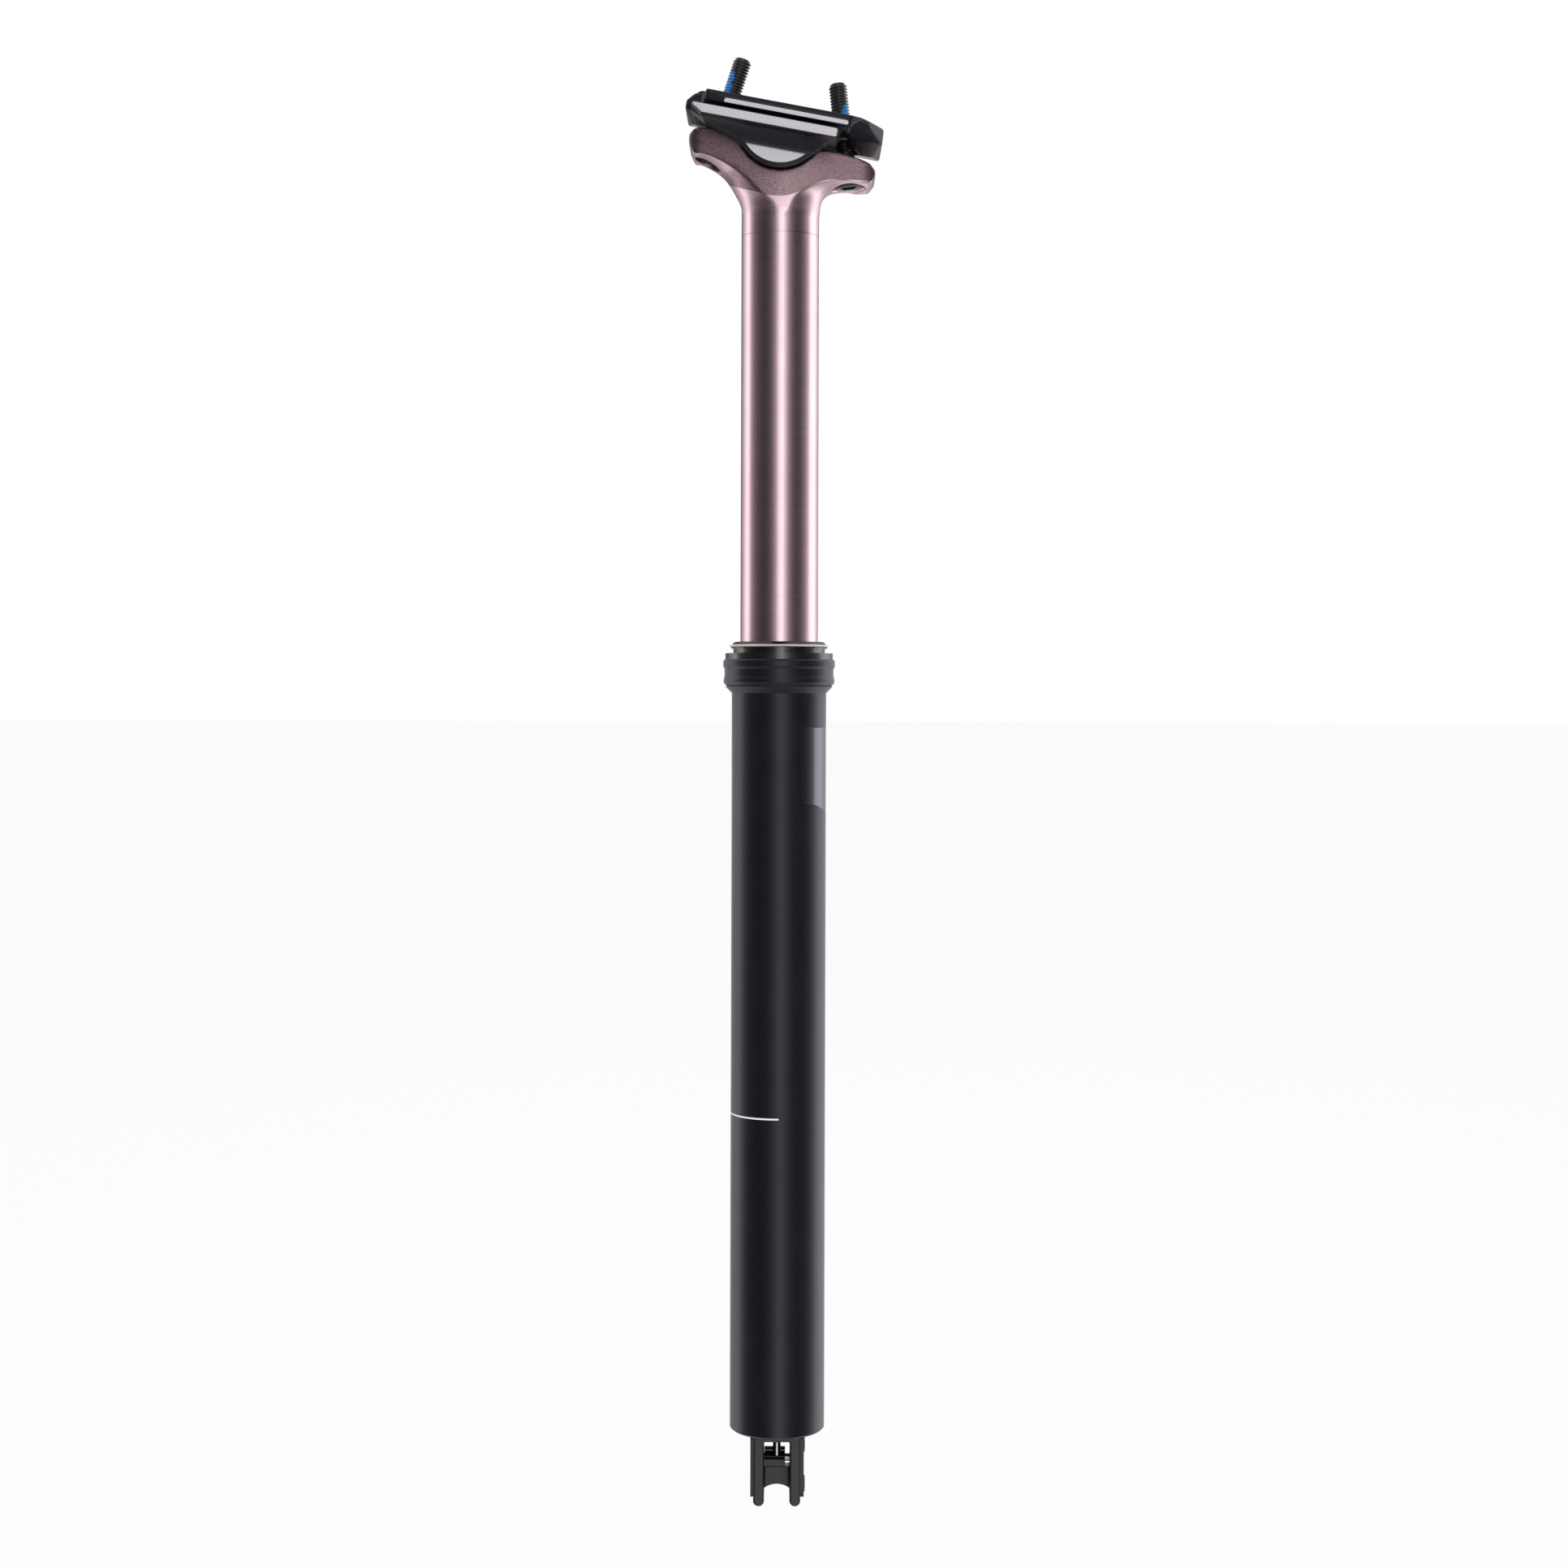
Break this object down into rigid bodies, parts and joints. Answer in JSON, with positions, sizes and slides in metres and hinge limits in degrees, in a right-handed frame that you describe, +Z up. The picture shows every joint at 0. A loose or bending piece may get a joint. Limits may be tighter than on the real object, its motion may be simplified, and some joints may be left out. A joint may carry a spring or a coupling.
{
  "type": "dropper seatpost",
  "caption": "Telescoping bicycle seatpost with a polished stanchion, black outer tube, two-bolt saddle clamp and a cable actuator under the tube.",
  "frame": {"origin": "on the post's axis, at the top of the straight part of the outer tube", "axes": "+Z up along the post, +X to the rear of the bicycle, +Y to the rider's right"},
  "size_m": [0.0641, 0.0546, 0.472],
  "materials": {
    "black_post": "matte black anodised, fine grain",
    "polished_stanchion": "polished hard anodised tube, blasted forged head",
    "black_clamp": "black anodised with bright machined flats",
    "wiper_rubber": "glossy black rubber",
    "garter_steel": "fine coiled steel wire",
    "black_screw": "black oxide with a blue thread patch",
    "nut_steel": "turned steel",
    "bushing_polymer": "low-friction polymer",
    "key_brass": "machined brass",
    "seal_rubber": "black rubber rings",
    "inner_aluminium": "machined aluminium",
    "rod_steel": "hard chromed steel",
    "grease_felt": "open-cell foam ring",
    "actuator_black": "black anodised, machined",
    "plate_black": "black pressed steel"
  },
  "bodies": {
    "lower_post": {"outer_tube": "black_post", "seal_collar": "black_post", "collar_seal": "seal_rubber", "dust_wiper": "wiper_rubber", "wiper_spring": "garter_steel", "grease_foam": "grease_felt", "upper_bushing": "bushing_polymer", "base_plug": "actuator_black", "plug_seal": "seal_rubber", "base_bumper": "seal_rubber", "piston_rod": "rod_steel", "main_piston": "inner_aluminium", "piston_seal": "seal_rubber", "actuator_housing": "actuator_black", "left_side_plate": "plate_black", "right_side_plate": "plate_black", "plate_screws": "plate_black", "lever_pivot_pin": "nut_steel"},
    "upper_post": {"stanchion": "polished_stanchion", "lower_bushing": "bushing_polymer", "guide_keys": "key_brass", "gas_cylinder": "inner_aluminium", "cylinder_cap": "inner_aluminium", "cap_seal": "seal_rubber", "rod_gland": "inner_aluminium", "gland_seal": "seal_rubber", "rod_seal": "seal_rubber", "gland_nut": "inner_aluminium", "top_bumper": "seal_rubber"},
    "gas_divider": {"floating_piston": "inner_aluminium", "floating_seal": "seal_rubber"},
    "saddle_clamp": {"lower_cradle": "black_clamp", "upper_clamp": "black_clamp"},
    "front_seat_washer": {"front_washer": "nut_steel"},
    "rear_seat_washer": {"rear_washer": "nut_steel"},
    "front_screw": {"front_bolt": "black_screw"},
    "rear_screw": {"rear_bolt": "black_screw"},
    "front_cross_nut": {"front_nut": "nut_steel"},
    "rear_cross_nut": {"rear_nut": "nut_steel"},
    "lever": {"release_lever": "actuator_black"},
    "cable_end": {"cable_barrel": "nut_steel"},
    "valve_pin": {"release_pin": "rod_steel"}
  },
  "joints": [
    {"name": "dropper_travel", "type": "slide", "parent": "lower_post", "child": "upper_post", "axis": [0, 0, 1], "range_m": [-0.125, 0], "stiffness_N_per_m": 120, "springref_m": 0.875},
    {"name": "gas_divider_slide", "type": "slide", "parent": "upper_post", "child": "gas_divider", "axis": [0, 0, 1], "range_m": [0, 0.0232]},
    {"name": "saddle_tilt", "type": "hinge", "parent": "upper_post", "child": "saddle_clamp", "pos_m": [0, 0, 0.1832], "axis": [0, 1, 0], "range_deg": [-4, 4]},
    {"name": "front_screw_lean", "type": "hinge", "parent": "upper_post", "child": "front_seat_washer", "pos_m": [-0.02136, 0, 0.1795], "axis": [0, 1, 0], "range_deg": [-0.5, 0.5]},
    {"name": "rear_screw_lean", "type": "hinge", "parent": "upper_post", "child": "rear_seat_washer", "pos_m": [0.0218, 0, 0.1704], "axis": [0, 1, 0], "range_deg": [-0.6, 0.6]},
    {"name": "front_screw_turn", "type": "hinge", "parent": "front_seat_washer", "child": "front_screw", "pos_m": [-0.02136, 0, 0.1795], "axis": [0.3126, 0, 0.9499], "continuous": true},
    {"name": "rear_screw_turn", "type": "hinge", "parent": "rear_seat_washer", "child": "rear_screw", "pos_m": [0.0218, 0, 0.1704], "axis": [-0.1093, 0, 0.994], "continuous": true},
    {"name": "front_nut_roll", "type": "hinge", "parent": "saddle_clamp", "child": "front_cross_nut", "pos_m": [-0.01774, 0, 0.1905], "axis": [0, 1, 0], "range_deg": [-4, 4]},
    {"name": "rear_nut_roll", "type": "hinge", "parent": "saddle_clamp", "child": "rear_cross_nut", "pos_m": [0.02036, 0, 0.1835], "axis": [0, 1, 0], "range_deg": [-5, 5]},
    {"name": "lever_pull", "type": "hinge", "parent": "lower_post", "child": "lever", "pos_m": [0, 0.0047, -0.2514], "axis": [-1, 0, 0], "range_deg": [0, 20.5]},
    {"name": "cable_end_turn", "type": "hinge", "parent": "lever", "child": "cable_end", "pos_m": [0, 0.0094, -0.2512], "axis": [-1, 0, 0], "range_deg": [-20.5, 0]},
    {"name": "valve_pin_lift", "type": "slide", "parent": "lower_post", "child": "valve_pin", "axis": [0, 0, 1], "range_m": [0, 0.0016], "stiffness_N_per_m": 1500, "springref_m": -0.004}
  ],
  "couplings": [
    {"joint": "gas_divider_slide", "follows": "dropper_travel", "ratio": -0.18108},
    {"joint": "front_screw_lean", "follows": "saddle_tilt", "ratio": 0.12},
    {"joint": "rear_screw_lean", "follows": "saddle_tilt", "ratio": -0.146},
    {"joint": "front_nut_roll", "follows": "saddle_tilt", "ratio": -0.88},
    {"joint": "rear_nut_roll", "follows": "saddle_tilt", "ratio": -1.146},
    {"joint": "lever_pull", "follows": "valve_pin_lift", "rad_per_m": 222},
    {"joint": "cable_end_turn", "follows": "valve_pin_lift", "rad_per_m": -222}
  ]
}
